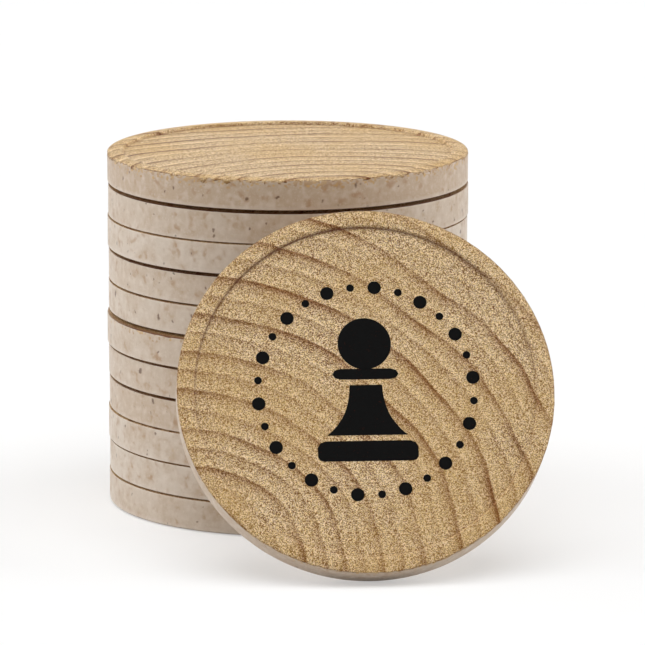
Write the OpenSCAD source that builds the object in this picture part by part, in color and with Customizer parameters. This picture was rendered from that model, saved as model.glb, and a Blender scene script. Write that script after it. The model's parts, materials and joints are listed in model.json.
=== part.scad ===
// A set of round game tokens: a neat stack, and one more token that leans on the front of the stack.
// Each token is a moulded disc with a raised rim on both faces and a thin wood-look skin over each face.
// The origin is on the table, on the axis of the lowest token. +Z is up and -Y is the front.

/* [Token] */
// Diameter of one token
token_d = 29; // [20:0.5:45]
// Thickness of one token over its two rims
token_t = 2.6; // [1.8:0.1:4]
// Width of the raised rim, with its rounded edge
rim_w = 1.2; // [1:0.05:3]
// Width of the rim's flat land, where stacked tokens touch
rim_land = 0.55; // [0.3:0.05:0.9]
// How far the rim falls away between its land and the rounded edge
rim_fall = 0.09; // [0.02:0.01:0.15]
// Depth of the recessed face below the rim
recess_depth = 0.24; // [0.1:0.02:0.5]
// Radial run of the soft step between the rim and the recessed face
step_run = 0.2; // [0.15:0.05:1]
// Radius of the rounded outer edge
edge_r = 0.13; // [0.1:0.01:0.4]

/* [Face skin] */
// Thickness of the wood-look skin
skin_t = 0.06; // [0.03:0.01:0.08]
// How far the skin wraps round the rounded edge, in degrees from its top
skin_wrap = 20; // [5:1:60]

/* [Stack] */
// Number of tokens in the stack
stack_count = 11; // [3:1:14]
// Share of the hand-stacked misalignment that is kept: 0 is a perfectly true stack
untidiness = 1; // [0:0.1:2]

/* [Leaning token] */
// Angle between the leaning token and the table
lean_angle = 61; // [50:1:70]
// Way that it faces, in degrees round from the front towards the right
lean_turn = 4; // [-30:1:30]
// How far its middle stands to the right of the stack's axis, along its face
lean_side = 4.5; // [-8:0.5:8]
// Gap between the leaning token and the stack
lean_gap = 0.15; // [0.1:0.05:0.5]

/* [Hidden] */
$fn = 180;
step_points = 10;
wrap_points = 6;
edge_points = 4;
token_r = token_d / 2;
stack_h = stack_count * token_t;

// How far each token sits off the axis of the lowest one, bottom to top
hand_shift = [[0, 0], [0.04, 0.05], [-0.03, 0.02], [0.05, 0.06], [0.02, -0.04], [-0.08, -0.14],
    [0.03, 0.14], [0.05, 0.18], [-0.02, 0.02], [0.04, 0.06], [0, -0.06]];
function shift_of(i) = untidiness * hand_shift[(i - 1) % len(hand_shift)];

// Directions along the table: out of the leaning token's face, and along it
lean_out = [sin(lean_turn), -cos(lean_turn)];
lean_along = [cos(lean_turn), sin(lean_turn)];
stack_reach = token_r + max([for (i = [1:stack_count]) shift_of(i) * lean_out]);
// The circle that the centre of the rounded edge runs along: its radius, and its depth below the rim's land
edge_centre_r = token_r - edge_r;
edge_centre_z = rim_fall + edge_r;
lean_lift = edge_centre_r * sin(lean_angle) - edge_centre_z * cos(lean_angle) + edge_r;
lean_top = lean_lift + edge_centre_r * sin(lean_angle) + edge_centre_z * cos(lean_angle);
// Where a point of its back edge, at an angle from the highest one, meets the side of one token of the stack
clear_r = token_r + edge_r + lean_gap;
function off_line(i, a) = lean_side + edge_centre_r * sin(a) - shift_of(i) * lean_along;
function side_reach(i, a) = shift_of(i) * lean_out
    + sqrt(max(0, clear_r * clear_r - off_line(i, a) * off_line(i, a)))
    + edge_centre_r * cos(a) * cos(lean_angle) - edge_centre_z * sin(lean_angle);
side_contact = max([for (i = [1:stack_count]) for (a = [-60:0.5:60]) side_reach(i, a)]);
// Where its back meets the upper edge of a stack that is lower than the leaning token
edge_contact = stack_reach - edge_r
    + ((stack_h - edge_centre_z - lean_lift) * cos(lean_angle) + edge_r + lean_gap) / sin(lean_angle);
lean_distance = lean_top < stack_h - edge_centre_z ? side_contact : edge_contact;

function reversed(points) = [for (k = [len(points) - 1:-1:0]) points[k]];
function lowered(points, by) = [for (p = points) [p[0], p[1] - by]];
function turned_over(points) = [for (p = points) [p[0], token_t - p[1]]];
function edge_arc(from, to, steps) = [for (k = [0:steps])
    let (a = from + (to - from) * k / steps)
    [edge_centre_r + edge_r * sin(a), token_t - edge_centre_z + edge_r * cos(a)]];

// Half section of the upper face from the axis out: recessed face, soft step, rim land, falling rim, edge
step_in_r = token_r - rim_w - step_run;
land_out = [token_r - rim_w + rim_land, token_t];
soft_step = [for (k = [0:step_points])
    [step_in_r + step_run * k / step_points,
     token_t - recess_depth * (1 + cos(180 * k / step_points)) / 2]];
face_line = concat([[0, token_t - recess_depth]], soft_step, [land_out],
    edge_arc(0, skin_wrap, wrap_points));
// Bare part of the rounded edge, below the skin
bare_edge = edge_arc(skin_wrap, 90, edge_points);

upper_half = concat(lowered(face_line, skin_t), bare_edge);
body_section = concat(upper_half, reversed(turned_over(upper_half)));
skin_section = concat(face_line, reversed(lowered(face_line, skin_t)));

function two_digits(i) = str(i < 10 ? "0" : "", i);
function token_name(i, piece) = str("token_", two_digits(i), "_", piece);

// Moulded wood-fibre disc, under its two skins
module token_body() {
    color([0.72, 0.65, 0.58])
        rotate_extrude()
            polygon(body_section);
}

// Wood-look skin of the upper face
module upper_skin() {
    color([0.79, 0.64, 0.42])
        rotate_extrude()
            polygon(skin_section);
}

// Wood-look skin of the lower face
module lower_skin() {
    color([0.79, 0.64, 0.42])
        rotate_extrude()
            polygon(turned_over(skin_section));
}

// Puts a piece at its place in the stack, counted from the table
module in_stack(i) {
    translate([shift_of(i)[0], shift_of(i)[1], (i - 1) * token_t])
        children();
}

// Puts a piece on the leaning token, with its upper face turned to the front
module leaning() {
    translate(concat(lean_out * lean_distance + lean_along * lean_side, lean_lift))
        rotate([lean_angle, 0, lean_turn])
            children();
}

for (i = [1:stack_count]) {
    in_stack(i) token_body();
    in_stack(i) upper_skin();
    in_stack(i) lower_skin();
}
leaning() token_body();  // leaning_body
leaning() upper_skin();  // leaning_front_skin
leaning() lower_skin();  // leaning_back_skin
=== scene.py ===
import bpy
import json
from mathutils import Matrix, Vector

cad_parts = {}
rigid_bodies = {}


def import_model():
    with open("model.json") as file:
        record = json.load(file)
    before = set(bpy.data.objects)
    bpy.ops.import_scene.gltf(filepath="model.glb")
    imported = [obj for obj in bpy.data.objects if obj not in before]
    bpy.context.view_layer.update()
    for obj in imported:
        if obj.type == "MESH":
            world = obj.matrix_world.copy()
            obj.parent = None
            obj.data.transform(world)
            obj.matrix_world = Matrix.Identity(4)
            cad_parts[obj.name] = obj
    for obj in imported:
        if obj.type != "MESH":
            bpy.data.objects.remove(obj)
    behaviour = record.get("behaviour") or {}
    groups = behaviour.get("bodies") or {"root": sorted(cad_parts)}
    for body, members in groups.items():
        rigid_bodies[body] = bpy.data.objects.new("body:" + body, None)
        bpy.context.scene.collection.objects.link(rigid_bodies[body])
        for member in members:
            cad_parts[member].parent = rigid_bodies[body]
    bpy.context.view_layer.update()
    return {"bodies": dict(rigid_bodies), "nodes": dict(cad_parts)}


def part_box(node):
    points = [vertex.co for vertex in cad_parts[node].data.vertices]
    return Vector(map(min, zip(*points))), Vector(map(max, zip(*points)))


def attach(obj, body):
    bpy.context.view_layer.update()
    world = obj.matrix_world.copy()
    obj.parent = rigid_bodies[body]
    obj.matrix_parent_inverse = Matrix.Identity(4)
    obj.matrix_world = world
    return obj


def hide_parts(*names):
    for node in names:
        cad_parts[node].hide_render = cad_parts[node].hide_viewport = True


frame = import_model()

import json
import math

import bpy
from mathutils import Matrix, Vector, noise

bl_info = {
    "name": "Wood-look game tokens",
    "version": (1, 0, 0),
    "blender": (4, 5, 0),
    "location": "View3D > Sidebar > Tokens",
    "description": "A stack of moulded wood-fibre tokens with wood-look faces, and one more that leans on it",
    "category": "Add Mesh",
}

MM = 0.001

# The tokens, by body, with the CAD nodes of each one's disc, upper or front skin, and lower or back skin
LEANING = "leaning_token"
STACKED = sorted(name for name in frame["bodies"] if name != LEANING)
TOP_TOKEN = STACKED[-1]
WORN_TOKEN = STACKED[5]  # under the widest seam at the front, where its skin shows
PARTS_OF = {
    name: (name + "_body", name + "_top_skin", name + "_bottom_skin") for name in STACKED
}
PARTS_OF[LEANING] = ("leaning_body", "leaning_front_skin", "leaning_back_skin")
TOKENS = STACKED + [LEANING]

# Sizes that the frame gives, in metres
_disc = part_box(STACKED[0] + "_body")
_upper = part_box(STACKED[0] + "_top_skin")
_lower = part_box(STACKED[0] + "_bottom_skin")
TOKEN_RADIUS = (_disc[1].x - _disc[0].x) / 2
TOKEN_HALF = (_upper[1].z - _lower[0].z) / 2
SKIN_DROP = _upper[1].z - _upper[0].z

# Segments round a token, fine on the two whose faces show; the side is laid out on its map in rows
SIDE_ROWS = 6
FINE, COARSE = 54 * SIDE_ROWS, 38 * SIDE_ROWS

# Points of the sections: up the step of a skin and of a disc, round a skin's edge, and down the side
SKIN_STEPS, DISC_STEPS, WRAP_STEPS, SIDE_STEPS = 9, 5, 5, 8
FIELD_RINGS = (0.25, 0.5, 0.75, 0.93)

# Angles round the rounded edge: where a skin usually ends, and the disc's points under the skin and below it
SKIN_WRAP = math.radians(18)
COVERED_ANGLES, BARE_ANGLES = (20, 38), (52, 64, 77, 90)

# Round places on a piece's map, each a middle and a radius, and the rows of the side's strips
SKIN_SHOWN, SKIN_HIDDEN = ((0.5, 0.5), 0.49), ((0.085, 0.085), 0.08)
DISC_UPPER, DISC_LOWER = ((0.04, 0.965), 0.03), ((0.12, 0.965), 0.03)
ROW_START, ROW_LENGTH = 0.005, 0.99
ROW_PITCH, ROW_FOOT, ROW_HEIGHT = 0.155, 0.004, 0.147

# How wide each seam of the stack stands open, as a share of the usual gap, from the table up
SEAM_GAP = (0.4, 0.4, 0.35, 0.9, 0.75, 1.25, 0.5, 1.1, 0.35, 1.25)

# How dark a skin's two falling rim rings are painted with shade where they lie in a seam, from the land out,
# and how dark its edge is stained where it lies open
RIM_SEAM_SHADE = (0.55, 0.85)
OPEN_STAIN = 0.55

# Painted shade in the crease at the foot of the step: how far inside the step it begins and is half as dark,
# and for the faces that show, the direction where the painted shade is darkest and how dark it is there
CREASE_START, CREASE_HALF = 0.20 * MM, 0.07 * MM
PLAIN_CREASE_SHADE = 0.5
CREASE_SHADES = {LEANING: ((-0.3, 0.95), 1.0), TOP_TOKEN: ((-0.2, 0.98), 0.60)}

# Waves of the side to the millimetre, round it and along the axis
WAVES_AROUND, WAVES_ALONG = 0.55, 0.6

# Painted highlights along the edges of the side: how far in from each end they begin and over what run they
# turn pale, and how pale the upper one gets under a tight seam and elsewhere
HIGHLIGHT_ABOVE, HIGHLIGHT_BELOW = (0.06 * MM, 0.14 * MM), (0.10 * MM, 0.16 * MM)
TIGHT_GAP = 0.6
LIP_TIGHT, LIP_OPEN = 0.9, 0.35

# Stray print grains below a skin: how many each token has, and how far down they reach
FRINGES = {TOP_TOKEN: 1.0, LEANING: 0.6, WORN_TOKEN: 0.35}
FRINGE_DROP = 0.65 * MM

# How dark the fibre of each token is mixed, from the table up, and last the leaning one; the mix is each
# token's own tone, and the dark mix of the top token and the leaning one is painted shade
FIBRE_TONE_AND_SHADE = dict(zip(TOKENS, (0.25, 0.05, 0.05, 0.70, 0.45, 0.35, 0.22, 0.40, 0.12, 0.45, 1.0, 0.85)))


def seen(red, green, blue):
    """A colour written as it shows on a screen, 0 to 255, as Blender's linear values."""
    return tuple(
        v / 12.92 if v <= 0.04045 else ((v + 0.055) / 1.055) ** 2.4
        for v in (red / 255, green / 255, blue / 255)
    )


def length(name, description, default):
    """A length that a user can change, in metres."""
    return bpy.props.FloatProperty(
        name=name, description=description, default=default, min=0.0, unit="LENGTH", precision=6
    )


def colour(name, description, default):
    """A colour that a user can change, in linear values."""
    return bpy.props.FloatVectorProperty(
        name=name, description=description, default=default, size=3, min=0.0, max=1.0, subtype="COLOR"
    )


def amount(name, description, default, top=10.0):
    """A plain number that a user can change, from 0 to the top."""
    return bpy.props.FloatProperty(
        name=name, description=description, default=default, min=0.0, max=top
    )


class TokenShape(bpy.types.PropertyGroup):
    """Sizes of a token's section that the frame's boxes don't give."""

    rim_width: length("Rim width", "Raised rim with its rounded edge", 1.2 * MM)
    rim_land: length("Rim land", "Flat part of the rim, where tokens touch", 0.55 * MM)
    rim_fall: length("Rim fall", "Drop from the land to the rounded edge", 0.09 * MM)
    step_run: length("Step run", "Radial run of the soft step", 0.2 * MM)
    edge_radius: length("Edge radius", "Radius of the rounded outer edge", 0.13 * MM)
    skin_thickness: length("Skin thickness", "Thickness of the wood-look skin", 0.06 * MM)
    skin_seat: length(
        "Skin seat", "Clearance of the skin from the disc under it and from the next token", 0.004 * MM
    )
    side_inset: length("Side inset", "How far the bare side lies inside the skin's tongues", 0.012 * MM)
    tongue_top: length("Top tongues", "Reach of the top token's ragged skin edge", 0.52 * MM)
    tongue_leaning: length("Leaning tongues", "Reach of the leaning token's ragged skin edge", 0.18 * MM)
    print_off: length(
        "Print offset", "How far the leaning token's skin reaches on round its left edge", 0.17 * MM
    )
    tongue_worn: length("Worn tongues", "Reach of the skin that shows under the widest seam", 0.14 * MM)
    tongue_stacked: length("Stacked tongues", "Reach of the ragged edge lower in the stack", 0.06 * MM)
    side_wave: length("Side wave", "Unevenness of the moulded side", 0.010 * MM)


class TokenFinish(bpy.types.PropertyGroup):
    """Colours of the finishes."""

    fibre: colour("Fibre", "Moulded wood-fibre side", seen(205, 190, 173))
    # Fibre shade is the darker clouds, and also the darker mix that paints shade on the top token and the
    # leaning one
    fibre_shade: colour("Fibre shade", "Darker clouds in the fibre", seen(184, 160, 134))
    fibre_smudge: colour("Fibre smudge", "Soft brown smudges", seen(164, 126, 88))
    fibre_speck: colour("Fibre speck", "Dark brown specks", seen(92, 58, 32))
    # Fibre edge is the pale tone of the mottling, streaks and dust, and also the painted highlight along the
    # side's edges
    fibre_pale_and_highlight: colour("Fibre edge", "Rubbed edges", seen(222, 209, 195))
    wood_light: colour("Wood light", "Pale grains of the wood print", seen(252, 226, 172))
    wood_gold: colour("Wood gold", "Golden tone of the wood print", seen(200, 157, 80))
    wood_dark: colour("Wood dark", "Dark grains of the wood print", seen(110, 72, 18))
    wood_red: colour("Wood red", "Reddish dark grains of the wood print", seen(116, 70, 40))
    wood_pale: colour("Wood pale", "Pinkish pale grains of the wood print", seen(250, 226, 192))
    wood_line: colour("Wood line", "Stain of the late-wood lines of the rings", seen(166, 122, 82))
    # Wood edge is the print where it wraps over the edge, and also the painted shade in the step's crease and
    # in the seams
    wood_edge_and_shade: colour("Wood edge", "Print where it wraps over the edge", seen(86, 42, 29))
    ink: colour("Ink", "Printed emblem", seen(10, 10, 10))


class TokenStage(bpy.types.PropertyGroup):
    """Floor, light and camera."""

    floor: colour("Floor", "Plain pale floor", (1.0, 1.0, 1.0))
    floor_bounce: amount("Floor bounce", "Share of the floor's brightness that lights the tokens", 0.76, 1.0)
    ambient: amount("Ambient", "Light from all round", 0.10)
    left: amount("Left light", "Soft light from the left", 2.45)
    right: amount("Right light", "Soft light from the right", 2.3)
    above: amount("Top light", "Soft light from above and in front", 1.93)
    camera_place: bpy.props.FloatVectorProperty(
        name="Camera place", description="Where the camera stands", default=(0.0028, -0.406, 0.0975),
        size=3, subtype="TRANSLATION", unit="LENGTH"
    )
    camera_pitch: bpy.props.FloatProperty(
        name="Camera pitch", description="Angle below the horizon", default=math.radians(11.58),
        unit="ROTATION"
    )
    camera_lens: bpy.props.FloatProperty(
        name="Lens", description="Focal length on a 36 mm sensor, in millimetres", default=286.0
    )


def face_cut(index):
    """How a face was cut from the wood, in millimetres: the centre of the rings from the disc's centre,
    the spacing of the rings, the width of their lines, and how sandy the grain between them is."""
    turn = 2.4 * index + 0.6
    reach = 22.0 + 9.0 * math.sin(1.7 * index)
    return {
        "centre": (reach * math.cos(turn), reach * math.sin(turn)),
        "ring": 1.5 + 0.3 * math.sin(2.9 * index),
        "line": 0.35,
        "sand": 0.9,
    }


# Upper or front faces: the two that show have cuts of their own
FACE_CUTS = {name: face_cut(k) for k, name in enumerate(TOKENS)}
FACE_CUTS[LEANING] = {"centre": (-14.0, -14.6), "ring": 1.55, "line": 0.50, "sand": 1.0}
FACE_CUTS[TOP_TOKEN] = {"centre": (4.6, -19.0), "ring": 1.75, "line": 0.30, "sand": 0.55}


# Mesh making

def on_disc(centre, near, far):
    """Where a strip's corners lie on the map, as a ring between two radii."""
    def spot(column, step, count, outer):
        angle = 2 * math.pi * (column + step) / count
        reach = far if outer else near
        return centre[0] + reach * math.cos(angle), centre[1] + reach * math.sin(angle)
    return spot


def even_rings(place, count, inwards=False):
    """Rings of one width on a round place of the map, one for each strip from its middle out, or back in."""
    middle, radius = place
    reach = [radius * (1 - k / count if inwards else k / count) for k in range(count + 1)]
    return [on_disc(middle, near, far) for near, far in zip(reach, reach[1:])]


def on_rows(near, far):
    """Where a strip of the side lies on the map, cut into rows; near and far are shares of a row's height."""
    def spot(column, step, count, outer):
        in_row = count // SIDE_ROWS
        row = column // in_row
        along = (column + step - row * in_row) / in_row
        up = ROW_PITCH * row + ROW_FOOT + ROW_HEIGHT * (far if outer else near)
        return ROW_START + ROW_LENGTH * along, up
    return spot


def loft(name, rings, spots):
    """A closed mesh through rings of points from one end to the other; a ring of one point is an end."""
    points, faces, starts, flat = [], [], [], []
    for ring in rings:
        starts.append(len(points))
        points.extend(ring)
    for k, spot in enumerate(spots):
        a, b = starts[k], starts[k + 1]
        first, second = len(rings[k]), len(rings[k + 1])
        count = max(first, second)
        for i in range(count):
            j = (i + 1) % count
            if first == 1:
                faces.append((a, b + i, b + j))
                corners = ((0, False), (0, True), (1, True))
            elif second == 1:
                faces.append((a + i, b, a + j))
                corners = ((0, False), (0, True), (1, False))
            else:
                faces.append((a + i, b + i, b + j, a + j))
                corners = ((0, False), (0, True), (1, True), (1, False))
            for step, outer in corners:
                flat.extend(spot(i, step, count, outer))
    mesh = bpy.data.meshes.new(name)
    mesh.from_pydata(points, [], faces)
    mesh.uv_layers.new(name="OFBake").data.foreach_set("uv", flat)
    mesh.validate()
    mesh.shade_smooth()
    return mesh


def point_values(mesh, name, kind, values):
    """Stores one value for each vertex, for the materials to read."""
    layer = mesh.attributes.new(name, kind, "POINT")
    if kind == "FLOAT_VECTOR":
        layer.data.foreach_set("vector", [part for value in values for part in value])
    else:
        layer.data.foreach_set("value", values)


def directions(count):
    """That many directions round a circle."""
    return [(math.cos(2 * math.pi * i / count), math.sin(2 * math.pi * i / count)) for i in range(count)]


def seam_of(token, upper):
    """The number of the seam on one side of a token, from the table up, or None where that side lies open."""
    seam = STACKED.index(token) - (0 if upper else 1) if token in STACKED else -1
    return seam if 0 <= seam < len(SEAM_GAP) else None


def rim_of(shape, token, upper):
    """How far the rim falls away on one side of a token, and the radius of its edge, which shape its seam."""
    seam = seam_of(token, upper)
    share = 1.0 if seam is None else SEAM_GAP[seam]
    return shape.rim_fall * share, shape.edge_radius * (0.45 + 0.55 * min(1.0, share))


def seam_shade_and_edge_stain(seam, direction):
    """How dark the skin's edge is darkened towards one direction: in a seam with painted shade, most in a
    wide seam, front and back; where it lies open, with a stain of the print.
    """
    if seam is None:
        return OPEN_STAIN
    across = min(1.0, abs(direction[1]) / 0.6)
    return min(1.0, 0.35 + 0.6 * SEAM_GAP[seam]) * (0.45 + 0.55 * across * across * (3.0 - 2.0 * across))


def crease_shade_depth(token, upper, direction):
    """How dark shade is painted at the foot of the step towards one direction of the face."""
    if not upper or token not in CREASE_SHADES:
        return PLAIN_CREASE_SHADE
    towards, deepest = CREASE_SHADES[token]
    facing = 0.5 + 0.5 * (direction[0] * towards[0] + direction[1] * towards[1])
    return deepest * (0.12 + 0.88 * facing ** 2)


def face_points(shape, steps, rim):
    """The upper face's half section from near the axis out to the rounded edge, z from mid-thickness,
    each point with how deep it lies in the crease at the foot of the step, where shade is painted."""
    fall, radius = rim
    recess = SKIN_DROP - shape.skin_thickness
    step_out = TOKEN_RADIUS - shape.rim_width
    step_in = step_out - shape.step_run
    field = TOKEN_HALF - recess
    land = TOKEN_HALF - shape.skin_seat
    line = [(step_in * share, field, 0.0) for share in FIELD_RINGS]
    line.append((step_in - CREASE_START, field, 0.0))
    line.append((step_in - CREASE_HALF, field, 0.5))
    for k in range(steps + 1):
        rise = (1 - math.cos(math.pi * k / steps)) / 2
        line.append((step_in + shape.step_run * k / steps, field + (land - field) * rise, (1.0 - rise) ** 2))
    land_out = step_out + shape.rim_land
    line.append((step_out + shape.rim_land * 0.5, land, 0.0))
    line.append((land_out, land, 0.0))
    edge_start = TOKEN_RADIUS - radius
    for share in (0.5, 1.0):
        line.append((land_out + (edge_start - land_out) * share, TOKEN_HALF - fall * share, 0.0))
    return line


def edge_point(rim, along, inside):
    """A point of the rounded edge or the side below it, so far along from the edge's start and so far in."""
    fall, radius = rim
    centre_r = TOKEN_RADIUS - radius
    centre_z = TOKEN_HALF - fall - radius
    quarter = radius * math.pi / 2
    angle = min(along / radius, math.pi / 2)
    drop = max(0.0, along - quarter)
    return (
        centre_r + (radius - inside) * math.sin(angle),
        centre_z + (radius - inside) * math.cos(angle) - drop,
    )


def ragged(direction, seed):
    """How far the skin's edge reaches past its usual end, as a share, in a few uneven tongues."""
    around = Vector((direction[0], direction[1], 0.0)) * (TOKEN_RADIUS / MM)
    broad = noise.noise(around * 0.22 + Vector((0.0, 0.0, seed * 3.7)))
    tongue = noise.noise(around * 0.85 + Vector((5.1, 0.0, seed * 1.9)))
    fringe = noise.noise(around * 2.7 + Vector((0.0, 7.7, seed * 5.3)))
    return min(1.0, max(0.0, 0.28 + 0.45 * broad + 0.60 * tongue + 0.75 * fringe))


def tongue_reach(shape, token, upper, direction):
    """The longest that the skin's tongues get on one side of a token, towards one direction."""
    if not upper:
        return 0.0
    if token == LEANING:
        return shape.tongue_leaning
    if token == TOP_TOKEN:
        return shape.tongue_top
    if token == WORN_TOKEN:
        front_left = max(0.0, -0.6 * direction[0] - 0.8 * direction[1])
        return shape.tongue_stacked + (shape.tongue_worn - shape.tongue_stacked) * front_left
    return shape.tongue_stacked


def further_round(shape, token, upper, direction):
    """How much further the skin wraps towards one direction, where its print sits off the middle."""
    return shape.print_off * max(0.0, -direction[0]) if upper and token == LEANING else 0.0


def skin_ends(shape, token, upper, seed, around):
    """How far along the rounded edge a skin reaches towards each direction."""
    usual = rim_of(shape, token, upper)[1] * SKIN_WRAP
    ends = []
    for way in around:
        tongue = tongue_reach(shape, token, upper, way) * ragged(way, seed)
        ends.append(usual + further_round(shape, token, upper, way) + tongue)
    return ends


def skin_spots(lengths, hidden):
    """Where a skin's strips lie on the map: a large round for the outer ones, by their lengths from the axis
    out, and a small round for the hidden ones."""
    middle, radius = SKIN_SHOWN
    shown = radius / lengths[-1]
    spots = [on_disc(middle, a * shown, b * shown) for a, b in zip(lengths, lengths[1:])]
    return spots + even_rings(SKIN_HIDDEN, hidden, inwards=True)


def skin_mesh(name, shape, token, upper, seed, count):
    """A skin over one face: the outer surface, the ragged edge, and the inner surface back to the axis."""
    around = directions(count)
    rim = rim_of(shape, token, upper)
    line = face_points(shape, SKIN_STEPS, rim)
    thick = shape.skin_thickness
    seam = seam_of(token, upper)
    crease_shades = [crease_shade_depth(token, upper, way) for way in around]
    shades_and_stains = [seam_shade_and_edge_stain(seam, way) for way in around]

    # The face and its rim, from the axis out
    # Each point keeps the painted shade of the crease, the painted shade of a seam (where the edge lies open,
    # the print stain there), and whether it lies on the rim
    rings, shade_stain_and_rim, lengths = [[(0.0, 0.0, line[0][1])]], [(0.0, 0.0, 0.0)], [0.0]
    before = (0.0, line[0][1])
    falling = len(line) - len(RIM_SEAM_SHADE)
    for k, (r, z, crease_shade) in enumerate(line):
        rings.append([(r * c, r * s, z) for c, s in around])
        on_rim = 1.0 if r > TOKEN_RADIUS - shape.rim_width else 0.0
        step = 0.0 if seam is None or k < falling else RIM_SEAM_SHADE[k - falling]
        shade_stain_and_rim.extend((crease_shade * share, step * shade_and_stain, on_rim) for share, shade_and_stain in zip(crease_shades, shades_and_stains))
        lengths.append(lengths[-1] + math.hypot(r - before[0], z - before[1]))
        before = (r, z)

    # The rounded edge, out to the tips of the tongues and back under them
    ends = skin_ends(shape, token, upper, seed, around)
    outwards = range(1, WRAP_STEPS + 1)
    for inside, order in ((shape.skin_seat, outwards), (thick, reversed(outwards))):
        for k in order:
            ring = []
            for (c, s), end in zip(around, ends):
                r, z = edge_point(rim, end * k / WRAP_STEPS, inside)
                ring.append((r * c, r * s, z))
            rings.append(ring)
            step = k / WRAP_STEPS if seam is None else 1.0
            shade_stain_and_rim.extend((0.0, step * shade_and_stain, 1.0) for shade_and_stain in shades_and_stains)
    for k in outwards:
        lengths.append(lengths[-1] + max(ends) / WRAP_STEPS)
    lengths.append(lengths[-1] + thick)

    # The underside, back to the axis
    for r, z, _ in reversed(line[::2]):
        rings.append([(r * c, r * s, z - thick) for c, s in around])
        shade_stain_and_rim.extend([(0.0, 0.0, 0.0)] * count)
    rings.append([(0.0, 0.0, line[0][1] - thick)])
    shade_stain_and_rim.append((0.0, 0.0, 0.0))

    mesh = loft(name, rings, skin_spots(lengths, len(rings) - len(lengths)))
    point_values(mesh, "shade_stain_and_rim", "FLOAT_VECTOR", shade_stain_and_rim)
    return mesh


def half_disc(shape, rim):
    """The disc's half section under one skin, down to the side, with the first bare point's number."""
    sunk = shape.skin_thickness + shape.skin_seat
    half = [(r, z - sunk) for r, z, _ in face_points(shape, DISC_STEPS, rim)]
    for angle in COVERED_ANGLES:
        half.append(edge_point(rim, rim[1] * math.radians(angle), sunk))
    bare = len(half)
    for angle in BARE_ANGLES:
        half.append(edge_point(rim, rim[1] * math.radians(angle), shape.side_inset))
    return half, bare


def side_wave(shape, direction, z, seed):
    """How far in the moulded side lies at one point, in gentle waves."""
    around = Vector((direction[0], direction[1], 0.0)) * (TOKEN_RADIUS / MM) * WAVES_AROUND
    along = Vector((seed * 2.3, 0.0, z / MM * WAVES_ALONG))
    return shape.side_wave * (0.5 + 0.5 * noise.noise(around + along))


def painted_edge_highlight(token, z, top, bottom):
    """How pale a token's side is painted with highlight at one height, towards its two edges."""
    if token == LEANING:
        return 0.0
    above = seam_of(token, True)
    lip = LIP_OPEN if above is None or SEAM_GAP[above] > TIGHT_GAP else LIP_TIGHT
    highlight_top = lip * max(0.0, (z - top + HIGHLIGHT_ABOVE[0]) / HIGHLIGHT_ABOVE[1])
    highlight_bottom = max(0.0, (bottom - z + HIGHLIGHT_BELOW[0]) / HIGHLIGHT_BELOW[1])
    return min(1.0, highlight_top + highlight_bottom)


def disc_spots(line, first_bare, last_bare):
    """Where a disc's strips lie on the map: small rounds for the covered faces, rows for the bare side."""
    run = [0.0]
    for (r, z), (r_next, z_next) in zip(line[first_bare - 1:last_bare + 1], line[first_bare:last_bare + 2]):
        run.append(run[-1] + math.hypot(r_next - r, z_next - z))
    spots = even_rings(DISC_UPPER, first_bare)
    spots += [on_rows(a / run[-1], b / run[-1]) for a, b in zip(run, run[1:])]
    left = len(line) + 1 - len(spots)
    return spots + even_rings(DISC_LOWER, left, inwards=True)


def disc_mesh(name, shape, token, seed, count):
    """The moulded disc under its two skins, with a slightly uneven side."""
    around = directions(count)
    upper, first_bare = half_disc(shape, rim_of(shape, token, True))
    lower, _ = half_disc(shape, rim_of(shape, token, False))
    top, bottom = upper[-1][1], -lower[-1][1]
    side = [(upper[-1][0], top + (bottom - top) * k / SIDE_STEPS) for k in range(1, SIDE_STEPS)]
    line = upper + side + [(r, -z) for r, z in reversed(lower)]
    last_bare = len(line) - 1 - first_bare
    fringed = FRINGES.get(token, 0.0)
    rings = [[(0.0, 0.0, line[0][1])]]
    edge_highlight, fringe = [0.0], [0.0]
    for k, (r, z) in enumerate(line):
        bare = first_bare <= k <= last_bare
        reach = [r - side_wave(shape, way, z, seed) if bare else r for way in around]
        rings.append([(out * c, out * s, z) for out, (c, s) in zip(reach, around)])
        edge_highlight.extend([painted_edge_highlight(token, z, top, bottom) if bare else 0.0] * count)
        fringe.extend([fringed * min(1.0, max(0.0, 1.0 - (top - z) / FRINGE_DROP))] * count)
    rings.append([(0.0, 0.0, line[-1][1])])
    edge_highlight.append(0.0)
    fringe.append(0.0)
    mesh = loft(name, rings, disc_spots(line, first_bare, last_bare))
    point_values(mesh, "edge_highlight", "FLOAT", edge_highlight)
    point_values(mesh, "fringe", "FLOAT", fringe)
    point_values(mesh, "tone_and_shade", "FLOAT", [FIBRE_TONE_AND_SHADE[token]] * len(fringe))
    return mesh


# The emblem's ring of dots, in millimetres, and how deep the ink sinks in and how far it stands proud
DOT_COUNT, DOT_RING, DOT_RADII, DOT_SIDES = 28, 8.3, (0.52, 0.30), 28
INK_SUNK, INK_PROUD = 0.006 * MM, 0.014 * MM


def smooth_curve(points, steps):
    """A smooth line through points, with steps between each two."""
    line = []
    for k in range(len(points) - 1):
        before = points[max(k - 1, 0)]
        a, b = points[k], points[k + 1]
        after = points[min(k + 2, len(points) - 1)]
        for i in range(steps):
            t = i / steps
            line.append(tuple(
                0.5 * (2 * q + (r - p) * t + (2 * p - 5 * q + 4 * r - s) * t * t
                       + (3 * q - p - 3 * r + s) * t ** 3)
                for p, q, r, s in zip(before, a, b, after)
            ))
    line.append(points[-1])
    return line


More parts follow.
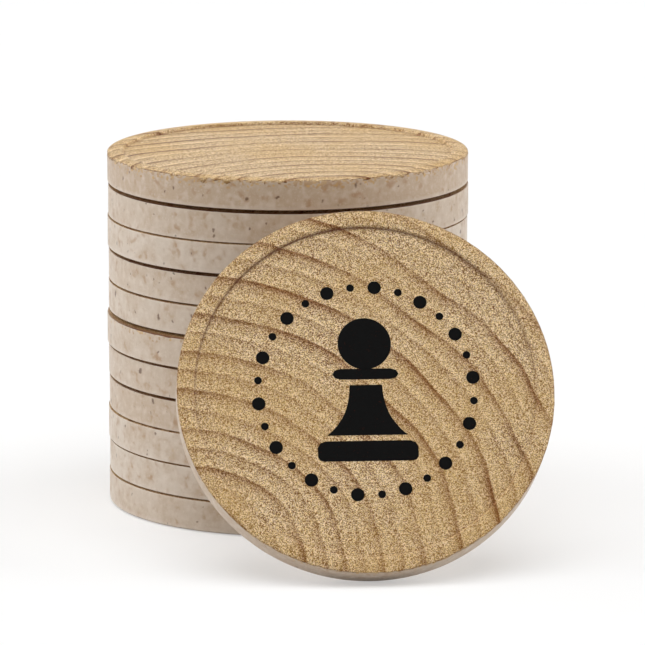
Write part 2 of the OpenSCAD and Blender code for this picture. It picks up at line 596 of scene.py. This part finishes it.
def emblem_shapes():
    """Outlines of the emblem's printed areas, in millimetres from the face's centre."""
    def circle(x, y, r, count):
        return [(x + r * c, y + r * s) for c, s in directions(count)]

    def mirrored(half):
        return [(-x, y) for x, y in half] + [(x, y) for x, y in reversed(half)]

    head = circle(0.0, 3.75, 2.05, 64)
    collar = [(1.9, 1.75), (2.35, 1.62), (2.55, 1.32), (2.35, 1.02), (1.9, 0.9)]
    waist = smooth_curve([(1.25, 0.45), (1.35, -0.6), (1.75, -1.9), (2.5, -3.0), (3.1, -3.55)], 8)
    foot = [(3.2, -4.0), (3.65, -4.15), (3.85, -4.5), (3.85, -5.25), (3.7, -5.5), (3.4, -5.6)]
    shapes = [head, mirrored(collar), mirrored(waist), mirrored(foot)]
    for k in range(DOT_COUNT):
        angle = 2 * math.pi * (k + 0.5) / DOT_COUNT
        x, y = DOT_RING * math.cos(angle), DOT_RING * math.sin(angle)
        shapes.append(circle(x, y, DOT_RADII[k % 2], DOT_SIDES))
    return shapes


def emblem_mesh(name, field):
    """Thin raised ink areas on the recessed face, each a closed plate."""
    points, faces = [], []
    low, high = field - INK_SUNK, field + INK_PROUD
    for outline in emblem_shapes():
        area = sum(
            outline[i - 1][0] * outline[i][1] - outline[i][0] * outline[i - 1][1]
            for i in range(len(outline))
        )
        if area < 0:
            outline = outline[::-1]
        count, start = len(outline), len(points)
        points.extend((x * MM, y * MM, low) for x, y in outline)
        points.extend((x * MM, y * MM, high) for x, y in outline)
        faces.append(tuple(start + count + i for i in range(count)))
        faces.append(tuple(start + i for i in reversed(range(count))))
        for i in range(count):
            j = (i + 1) % count
            faces.append((start + i, start + j, start + count + j, start + count + i))
    mesh = bpy.data.meshes.new(name)
    mesh.from_pydata(points, [], faces)
    mesh.validate()
    return mesh


def store_grain(mesh, token, side):
    """Stores where each point lies in the wood or fibre, in millimetres, and how a skin was cut."""
    index = TOKENS.index(token)
    if side is None:
        offset = Vector((17.3 * index, 31.7 * index, 11.9 * index))
    else:
        cut = FACE_CUTS[token] if side == "upper" else face_cut(index + 31)
        layer = 6.0 * index + (3.0 if side == "lower" else 0.0)
        offset = Vector((-cut["centre"][0], -cut["centre"][1], layer))
        looks = (cut["ring"], cut["line"], cut["sand"])
        point_values(mesh, "cut", "FLOAT_VECTOR", [looks] * len(mesh.vertices))
    point_values(mesh, "grain", "FLOAT_VECTOR", [vertex.co / MM + offset for vertex in mesh.vertices])


def segments_of(token):
    """How many segments a token has round its axis."""
    return FINE if token in (TOP_TOKEN, LEANING) else COARSE


def token_place(token):
    """The token's place in the frame: its disc's centre, with z out of its upper or front face."""
    low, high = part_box(PARTS_OF[token][0])
    skin = frame["nodes"][PARTS_OF[token][1]].data
    face = max(skin.polygons, key=lambda polygon: polygon.area)
    out = face.normal.normalized()
    if out.z < 0:
        out.negate()
    across = Vector((0.0, 0.0, 1.0)).cross(out)
    across = across.normalized() if across.length > 1e-3 else Vector((1.0, 0.0, 0.0))
    turn = Matrix((across, out.cross(across), out)).transposed().to_4x4()
    return Matrix.Translation((low + high) / 2) @ turn


def put_piece(mesh, token, place, material):
    """Makes the piece and puts it on its token."""
    mesh.transform(place)
    piece = bpy.data.objects.new(mesh.name, mesh)
    bpy.context.scene.collection.objects.link(piece)
    mesh.materials.append(material)
    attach(piece, token)
    return piece


# Material making

# Grains to the millimetre: of the wood print, and of the stray ones below a skin
SAND_PER_MM, STRAY_PER_MM = 19.5, 4.5


class Finish:
    """One material's nodes, joined by short calls."""

    def __init__(self, name):
        self.material = bpy.data.materials.new(name)
        self.material.use_nodes = True
        self.tree = self.material.node_tree
        self.tree.nodes.clear()
        output = self.tree.nodes.new("ShaderNodeOutputMaterial")
        self.shader = self.tree.nodes.new("ShaderNodeBsdfPrincipled")
        self.tree.links.new(self.shader.outputs["BSDF"], output.inputs["Surface"])

    def put(self, socket, value):
        """Sets a socket to a value, or links it to another node's output."""
        if isinstance(value, bpy.types.NodeSocket):
            self.tree.links.new(value, socket)
        elif socket.type == "RGBA":
            socket.default_value = (*tuple(value)[:3], 1.0)
        else:
            socket.default_value = value

    def node(self, kind, **settings):
        """A new node of that kind with those settings."""
        made = self.tree.nodes.new(kind)
        for key, value in settings.items():
            setattr(made, key, value)
        return made

    def stored(self, name, output="Vector"):
        """What the mesh stores for each point under that name."""
        return self.node("ShaderNodeAttribute", attribute_name=name).outputs[output]

    def parts(self, vector):
        """The three parts of a vector."""
        made = self.node("ShaderNodeSeparateXYZ")
        self.put(made.inputs[0], vector)
        return made.outputs

    def math(self, operation, a, b=0.0, clamp=False):
        """One step of arithmetic with values."""
        made = self.node("ShaderNodeMath", operation=operation, use_clamp=clamp)
        self.put(made.inputs[0], a)
        self.put(made.inputs[1], b)
        return made.outputs[0]

    def vector(self, operation, a, b=(0.0, 0.0, 0.0), scale=None):
        """One step of arithmetic with vectors."""
        made = self.node("ShaderNodeVectorMath", operation=operation)
        self.put(made.inputs[0], a)
        if scale is None:
            self.put(made.inputs[1], b)
        else:
            self.put(made.inputs["Scale"], scale)
        return made.outputs["Value" if operation in ("LENGTH", "DOT_PRODUCT") else "Vector"]

    def noise(self, place, scale, detail=2.0, roughness=0.5, output="Fac"):
        """Smooth noise of that scale."""
        made = self.node("ShaderNodeTexNoise")
        self.put(made.inputs["Vector"], place)
        self.put(made.inputs["Scale"], scale)
        self.put(made.inputs["Detail"], detail)
        self.put(made.inputs["Roughness"], roughness)
        return made.outputs[output]

    def span(self, value, low, high, to_low=0.0, to_high=1.0, smooth=True):
        """A value between two limits, carried over to two others."""
        made = self.node("ShaderNodeMapRange", interpolation_type="SMOOTHSTEP" if smooth else "LINEAR")
        for socket, part in zip(made.inputs[:5], (value, low, high, to_low, to_high)):
            self.put(socket, part)
        return made.outputs["Result"]

    def mix(self, share, a, b, blend="MIX"):
        """One colour with a share of another laid over it."""
        made = self.node("ShaderNodeMix", data_type="RGBA", blend_type=blend)
        self.put(made.inputs[0], share)
        self.put(made.inputs[6], a)
        self.put(made.inputs[7], b)
        return made.outputs[2]

    def warped(self, place, scale, reach):
        """The place, pushed about by smooth noise of that scale."""
        push = self.vector("SUBTRACT", self.noise(place, scale, 1.0, output="Color"), (0.5, 0.5, 0.5))
        return self.vector("ADD", place, self.vector("SCALE", push, scale=reach))

    def grains(self, place, scale):
        """Cells of that scale: two random values for each, and the distance from its middle."""
        cells = self.node("ShaderNodeTexVoronoi", feature="F1")
        self.put(cells.inputs["Vector"], place)
        cells.inputs["Scale"].default_value = scale
        draw = self.node("ShaderNodeSeparateColor")
        self.put(draw.inputs[0], cells.outputs["Color"])
        return draw.outputs[0], draw.outputs[1], cells.outputs["Distance"]

    def specks(self, place, scale, least, widest):
        """Scattered specks: the cells of that scale above the least draw get one, up to the widest."""
        draw, _, distance = self.grains(place, scale)
        wide = self.span(draw, least, 1.0, 0.0, widest, smooth=False)
        return self.math("SUBTRACT", wide, distance)

    def bump(self, height, strength, distance):
        """Lets the surface look as uneven as the height."""
        made = self.node("ShaderNodeBump")
        made.inputs["Strength"].default_value = strength
        made.inputs["Distance"].default_value = distance
        self.put(made.inputs["Height"], height)
        self.put(self.shader.inputs["Normal"], made.outputs["Normal"])


def wood_skin_finish(colours):
    """Wood-look print: bent growth rings with a sharp outer side under a sandy grain, in satin varnish."""
    f = Finish("wood_skin")
    place = f.stored("grain")
    spacing, width, sandy = f.parts(f.stored("cut"))
    crease_shade, wrapped, rim = f.parts(f.stored("shade_stain_and_rim"))

    # Growth rings: bent circles round the cut's centre, numbered outwards, and what is left of each one
    bent = f.warped(f.warped(place, 0.06, 2.2), 0.30, 0.30)
    distance = f.vector("LENGTH", f.vector("MULTIPLY", bent, (1.0, 1.0, 0.0)))
    uneven = f.noise(place, 0.16, 1.0)
    ring = f.math("DIVIDE", f.math("ADD", distance, f.math("MULTIPLY", uneven, 0.9)), spacing)
    number = f.math("FLOOR", ring)
    left = f.math("MULTIPLY", f.math("SUBTRACT", 1.0, f.math("FRACT", ring)), spacing)

    # Late-wood lines: a sharp outer side, a dark core and a soft tail, in a strength of its own for each ring
    sharp = f.span(left, 0.0, 0.18)
    core = f.span(left, 0.08, f.math("ADD", width, 0.08), 0.55, 0.0)
    tail = f.span(left, 0.08, f.math("ADD", f.math("MULTIPLY", width, 2.6), 0.08), 0.35, 0.0)
    each = f.node("ShaderNodeTexWhiteNoise", noise_dimensions="1D")
    f.put(each.inputs["W"], number)
    draw = f.span(each.outputs["Value"], 0.0, 1.0, 0.45, 1.0, smooth=False)
    odd = f.span(f.math("FRACT", f.math("MULTIPLY", number, 0.5)), 0.0, 0.5, 0.45, 1.0, smooth=False)
    patchy = f.span(f.noise(place, 0.15, 1.0), 0.34, 0.60, 0.55, 1.1)
    plain = f.math("SUBTRACT", 2.0, sandy)
    strength = f.math("MULTIPLY", f.math("MULTIPLY", draw, odd), f.math("MULTIPLY", patchy, plain))
    line = f.math("MULTIPLY", f.math("MULTIPLY", sharp, f.math("ADD", core, tail)), strength)

    # Sandy grain: rougher in places, darker on a line and paler just outside it
    sand, hue, _ = f.grains(place, SAND_PER_MM)
    rough = f.math("MULTIPLY", sandy, f.span(f.noise(place, 0.11, 1.0), 0.38, 0.62, 0.72, 1.12))
    sand = f.math("ADD", f.math("MULTIPLY", f.math("SUBTRACT", sand, 0.5), rough), 0.5)
    early = f.math("MULTIPLY", f.span(f.math("FRACT", ring), 0.0, 0.45, 1.0, 0.0), strength)
    shade = f.math("SUBTRACT", sand, f.math("MULTIPLY", line, 0.18))
    shade = f.math("ADD", shade, f.math("MULTIPLY", early, 0.10))
    shade = f.math("ADD", shade, f.math("MULTIPLY", f.math("SUBTRACT", rough, 0.5), 0.045))

    # Colours: dark and light grains, golden tones, the lines, painted shade in the crease at the step and in
    # the seams, and the print stain on an open edge
    redder = f.span(hue, 0.35, 0.65)
    darks = f.mix(redder, colours.wood_dark, colours.wood_red)
    lights = f.mix(redder, colours.wood_light, colours.wood_pale)
    tone = f.mix(f.span(shade, 0.37, 0.63), darks, lights)
    tone = f.mix(f.span(hue, 0.70, 0.0, 0.0, 0.30), tone, colours.wood_gold)
    broad = f.noise(place, 0.12, 2.0)
    tone = f.mix(f.span(broad, 0.36, 0.66, 0.0, 0.28), tone, colours.wood_gold)
    tone = f.mix(f.math("MULTIPLY", rim, 0.12), tone, colours.wood_gold)
    tone = f.mix(f.math("MULTIPLY", line, 1.0, clamp=True), tone, colours.wood_line, "MULTIPLY")
    # Painted shade in the crease at the foot of the step
    tone = f.mix(f.math("MULTIPLY", crease_shade, 0.88), tone, colours.wood_edge_and_shade)
    # Painted shade on the skin's edge where it lies in a seam, and the print stain where the edge lies open
    tone = f.mix(f.math("MULTIPLY", wrapped, 0.92), tone, colours.wood_edge_and_shade)

    f.put(f.shader.inputs["Base Color"], tone)
    f.put(f.shader.inputs["Roughness"], f.span(sand, 0.3, 0.7, 0.56, 0.46))
    f.shader.inputs["Specular IOR Level"].default_value = 0.18
    f.bump(f.math("SUBTRACT", sand, f.math("MULTIPLY", line, 0.25)), 0.15, 0.04 * MM)
    return f.material


def fibre_finish(colours):
    """Moulded wood fibre: clouded greige with brown smudges, dark specks, and painted highlights along the
    edges.
    """
    f = Finish("fibre_body")
    place = f.stored("grain")

    # Each token's own tone, with painted shade on the top token and the leaning one, under darker clouds,
    # pale mottling and brown smudges
    tone = f.mix(f.stored("tone_and_shade", "Fac"), colours.fibre, colours.fibre_shade)
    cloud = f.noise(place, 0.60, 3.0, 0.6)
    tone = f.mix(f.span(cloud, 0.40, 0.68, 0.0, 0.75), tone, colours.fibre_shade)
    mottle = f.noise(place, 1.5, 2.0, 0.5)
    tone = f.mix(f.span(mottle, 0.44, 0.80, 0.0, 0.42), tone, colours.fibre_pale_and_highlight)
    streak = f.noise(f.vector("MULTIPLY", place, (1.7, 1.7, 0.35)), 1.0, 1.0)
    tone = f.mix(f.span(streak, 0.50, 0.72, 0.0, 0.12), tone, colours.fibre_pale_and_highlight)
    smudge = f.noise(f.warped(place, 1.6, 0.5), 1.2, 1.0)
    tone = f.mix(f.span(smudge, 0.56, 0.82, 0.0, 0.72), tone, colours.fibre_smudge)

    # Ragged specks of two sizes, and fine dust
    shaken = f.warped(f.warped(place, 1.1, 0.7), 5.0, 0.20)
    stretched = f.vector("MULTIPLY", shaken, (1.0, 1.0, 0.8))
    large = f.specks(stretched, 0.80, 0.45, 0.22)
    tone = f.mix(f.span(large, 0.0, 0.09, 0.0, 0.82), tone, colours.fibre_speck)
    small = f.specks(stretched, 1.7, 0.50, 0.26)
    tone = f.mix(f.span(small, 0.0, 0.12, 0.0, 0.72), tone, colours.fibre_speck)
    dust = f.noise(place, 6.0, 2.0, 0.6)
    tone = f.mix(f.span(dust, 0.56, 0.76, 0.0, 0.20), tone, colours.fibre_smudge)
    tone = f.mix(f.span(dust, 0.44, 0.28, 0.0, 0.30), tone, colours.fibre_pale_and_highlight)

    # Stray print grains below the skins, and painted highlights along the edges
    grain, kind, _ = f.grains(place, STRAY_PER_MM)
    near = f.math("MULTIPLY", f.stored("fringe", "Fac"), 0.55)
    fringe = f.span(f.math("SUBTRACT", near, grain), -0.02, 0.06, 0.0, 0.70)
    tone = f.mix(fringe, tone, f.mix(kind, colours.wood_gold, colours.fibre_smudge))
    tone = f.mix(f.math("MULTIPLY", f.stored("edge_highlight", "Fac"), 0.60), tone, colours.fibre_pale_and_highlight)

    f.put(f.shader.inputs["Base Color"], tone)
    f.put(f.shader.inputs["Roughness"], f.span(dust, 0.3, 0.7, 0.46, 0.58))
    f.shader.inputs["Specular IOR Level"].default_value = 0.5
    f.shader.inputs["Sheen Weight"].default_value = 0.18
    f.shader.inputs["Sheen Roughness"].default_value = 0.45
    f.bump(f.math("ADD", dust, cloud), 0.22, 0.05 * MM)
    return f.material


def ink_finish(colours):
    """Black print, with a slightly uneven cover."""
    f = Finish("black_ink")
    place = f.stored("grain")
    cover = f.noise(place, 5.0, 2.0, 0.6)
    tone = f.mix(f.span(cover, 0.62, 0.80, 0.0, 0.25), colours.ink, colours.wood_edge_and_shade)
    f.put(f.shader.inputs["Base Color"], tone)
    f.put(f.shader.inputs["Roughness"], f.span(cover, 0.3, 0.7, 0.62, 0.75))
    f.shader.inputs["Specular IOR Level"].default_value = 0.05
    f.bump(cover, 0.15, 0.03 * MM)
    return f.material


# Stage making

# Half the floor's side, and the share of it that shows as plain white whatever the light
FLOOR_REACH, FLOOR_GLOW = 1.5, 0.40

# The lights' spread, and where they come from
LIGHT_SPREAD = math.radians(62)
FROM_LEFT, FROM_RIGHT, FROM_ABOVE = (-1.0, 0.12, 0.16), (1.0, 0.12, 0.16), (0.0, -0.22, 1.0)

# The camera's sensor in millimetres, and the nearest and farthest that it sees in metres
SENSOR_WIDTH, CAMERA_CLIP = 36.0, (0.01, 20.0)


def background_rays(tree):
    """1 for the camera's rays and those of mirror-like or clear surfaces, which see the plain background."""
    path = tree.nodes.new("ShaderNodeLightPath")
    looked = tree.nodes.new("ShaderNodeMath")
    looked.operation = "MAXIMUM"
    tree.links.new(path.outputs["Is Camera Ray"], looked.inputs[0])
    tree.links.new(path.outputs["Is Glossy Ray"], looked.inputs[1])
    clear = tree.nodes.new("ShaderNodeMath")
    clear.operation = "MAXIMUM"
    tree.links.new(looked.outputs[0], clear.inputs[0])
    tree.links.new(path.outputs["Is Transmission Ray"], clear.inputs[1])
    return clear.outputs[0]


def make_floor(scene, stage):
    """A wide pale floor that keeps the tokens' shadow."""
    mesh = bpy.data.meshes.new("floor")
    corners = [(x * FLOOR_REACH, y * FLOOR_REACH, 0) for x, y in ((-1, -1), (1, -1), (1, 1), (-1, 1))]
    mesh.from_pydata(corners, [], [(0, 1, 2, 3)])
    floor = bpy.data.objects.new("floor", mesh)
    scene.collection.objects.link(floor)
    material = bpy.data.materials.new("floor")
    material.use_nodes = True
    tree = material.node_tree
    tree.nodes.clear()
    output = tree.nodes.new("ShaderNodeOutputMaterial")
    diffuse = tree.nodes.new("ShaderNodeBsdfDiffuse")
    looked_at = background_rays(tree)
    shade = tree.nodes.new("ShaderNodeMix")
    shade.data_type = "RGBA"
    tree.links.new(looked_at, shade.inputs[0])
    shade.inputs[6].default_value = (*(part * stage.floor_bounce for part in stage.floor), 1.0)
    shade.inputs[7].default_value = (*stage.floor, 1.0)
    tree.links.new(shade.outputs[2], diffuse.inputs["Color"])
    pale = tree.nodes.new("ShaderNodeEmission")
    glow = tree.nodes.new("ShaderNodeMath")
    glow.operation = "MULTIPLY"
    tree.links.new(looked_at, glow.inputs[0])
    glow.inputs[1].default_value = FLOOR_GLOW
    lit = tree.nodes.new("ShaderNodeMixShader")
    tree.links.new(glow.outputs[0], lit.inputs[0])
    tree.links.new(diffuse.outputs[0], lit.inputs[1])
    tree.links.new(pale.outputs[0], lit.inputs[2])
    tree.links.new(lit.outputs[0], output.inputs["Surface"])
    mesh.materials.append(material)


def make_world(scene, stage):
    """White where it is looked at or mirrored, and a modest even light elsewhere."""
    world = bpy.data.worlds.new("studio")
    scene.world = world
    world.use_nodes = True
    tree = world.node_tree
    tree.nodes.clear()
    output = tree.nodes.new("ShaderNodeOutputWorld")
    even = tree.nodes.new("ShaderNodeBackground")
    even.inputs["Color"].default_value = (1.0, 1.0, 1.0, 1.0)
    even.inputs["Strength"].default_value = stage.ambient
    white = tree.nodes.new("ShaderNodeBackground")
    white.inputs["Color"].default_value = (1.0, 1.0, 1.0, 1.0)
    white.inputs["Strength"].default_value = 1.0
    pick = tree.nodes.new("ShaderNodeMixShader")
    tree.links.new(background_rays(tree), pick.inputs[0])
    tree.links.new(even.outputs[0], pick.inputs[1])
    tree.links.new(white.outputs[0], pick.inputs[2])
    tree.links.new(pick.outputs[0], output.inputs["Surface"])


def soft_sun(scene, name, strength, came_from):
    """A wide soft light from one direction, even over the whole floor."""
    lamp = bpy.data.lights.new(name, "SUN")
    lamp.energy = strength
    lamp.angle = LIGHT_SPREAD
    lamp_object = bpy.data.objects.new(name, lamp)
    scene.collection.objects.link(lamp_object)
    lamp_object.rotation_euler = Vector(came_from).to_track_quat("Z", "Y").to_euler()


# One operator for each group of like pieces, and one for the stage

class TOKENS_OT_discs(bpy.types.Operator):
    """Makes the moulded wood-fibre disc of every token"""

    bl_idname = "tokens.discs"
    bl_label = "Moulded discs"

    def execute(self, context):
        shape = context.scene.token_shape
        material = fibre_finish(context.scene.token_finish)
        for index, token in enumerate(TOKENS):
            node = PARTS_OF[token][0]
            mesh = disc_mesh(node + "_moulded", shape, token, index, segments_of(token))
            store_grain(mesh, token, None)
            piece = put_piece(mesh, token, token_place(token), material)
            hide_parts(node)
        return {"FINISHED"}


class TOKENS_OT_skins(bpy.types.Operator):
    """Makes the wood-look skins of every token, with their ragged edges"""

    bl_idname = "tokens.skins"
    bl_label = "Wood-look skins"

    def execute(self, context):
        shape = context.scene.token_shape
        material = wood_skin_finish(context.scene.token_finish)
        turned_over = Matrix.Rotation(math.pi, 4, "X")
        for index, token in enumerate(TOKENS):
            place = token_place(token)
            _, upper, lower = PARTS_OF[token]
            for node, side, spot in ((upper, "upper", place), (lower, "lower", place @ turned_over)):
                seed = 2 * index + (side == "lower")
                mesh = skin_mesh(node + "_printed", shape, token, side == "upper", seed, segments_of(token))
                store_grain(mesh, token, side)
                piece = put_piece(mesh, token, spot, material)
                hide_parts(node)
        return {"FINISHED"}


class TOKENS_OT_emblem(bpy.types.Operator):
    """Makes the printed emblem on the leaning token: a pawn in a ring of dots"""

    bl_idname = "tokens.emblem"
    bl_label = "Printed emblem"

    def execute(self, context):
        shape = context.scene.token_shape
        field = TOKEN_HALF - (SKIN_DROP - shape.skin_thickness)
        mesh = emblem_mesh("leaning_front_emblem", field)
        store_grain(mesh, LEANING, "upper")
        put_piece(mesh, LEANING, token_place(LEANING), ink_finish(context.scene.token_finish))
        return {"FINISHED"}


class TOKENS_OT_stage(bpy.types.Operator):
    """Makes the floor, the light and the camera"""

    bl_idname = "tokens.stage"
    bl_label = "Stage"

    def execute(self, context):
        scene = context.scene
        stage = scene.token_stage
        scene.view_settings.view_transform = "Standard"
        make_floor(scene, stage)
        make_world(scene, stage)
        soft_sun(scene, "left_light", stage.left, FROM_LEFT)
        soft_sun(scene, "right_light", stage.right, FROM_RIGHT)
        soft_sun(scene, "top_light", stage.above, FROM_ABOVE)
        camera = bpy.data.objects.new("camera", bpy.data.cameras.new("camera"))
        scene.collection.objects.link(camera)
        camera.location = stage.camera_place
        camera.rotation_euler = (math.pi / 2 - stage.camera_pitch, 0.0, 0.0)
        camera.data.sensor_width = SENSOR_WIDTH
        camera.data.lens = stage.camera_lens
        camera.data.clip_start, camera.data.clip_end = CAMERA_CLIP
        scene.camera = camera
        return {"FINISHED"}


class TOKENS_PT_panel(bpy.types.Panel):
    """Lists the tokens' pieces and their settings"""

    bl_idname = "TOKENS_PT_panel"
    bl_label = "Wood-look game tokens"
    bl_space_type = "VIEW_3D"
    bl_region_type = "UI"
    bl_category = "Tokens"

    def draw(self, context):
        for step in STEPS:
            self.layout.operator(step.bl_idname)
        for name, group in GROUPS.items():
            box = self.layout.box()
            for key in group.__annotations__:
                box.prop(getattr(context.scene, name), key)


GROUPS = {"token_shape": TokenShape, "token_finish": TokenFinish, "token_stage": TokenStage}
STEPS = (TOKENS_OT_discs, TOKENS_OT_skins, TOKENS_OT_emblem, TOKENS_OT_stage)


def register():
    """Adds the classes, and the groups of settings to every scene."""
    for kind in (*GROUPS.values(), *STEPS, TOKENS_PT_panel):
        bpy.utils.register_class(kind)
    for name, group in GROUPS.items():
        setattr(bpy.types.Scene, name, bpy.props.PointerProperty(type=group))


def unregister():
    """Takes away what register added."""
    for name in GROUPS:
        delattr(bpy.types.Scene, name)
    for kind in reversed((*GROUPS.values(), *STEPS, TOKENS_PT_panel)):
        bpy.utils.unregister_class(kind)


def main():
    """Builds the tokens and their stage."""
    register()
    bpy.ops.tokens.discs()
    bpy.ops.tokens.skins()
    bpy.ops.tokens.emblem()
    bpy.ops.tokens.stage()
    bpy.context.view_layer.update()


if __name__ == "__main__":
    main()
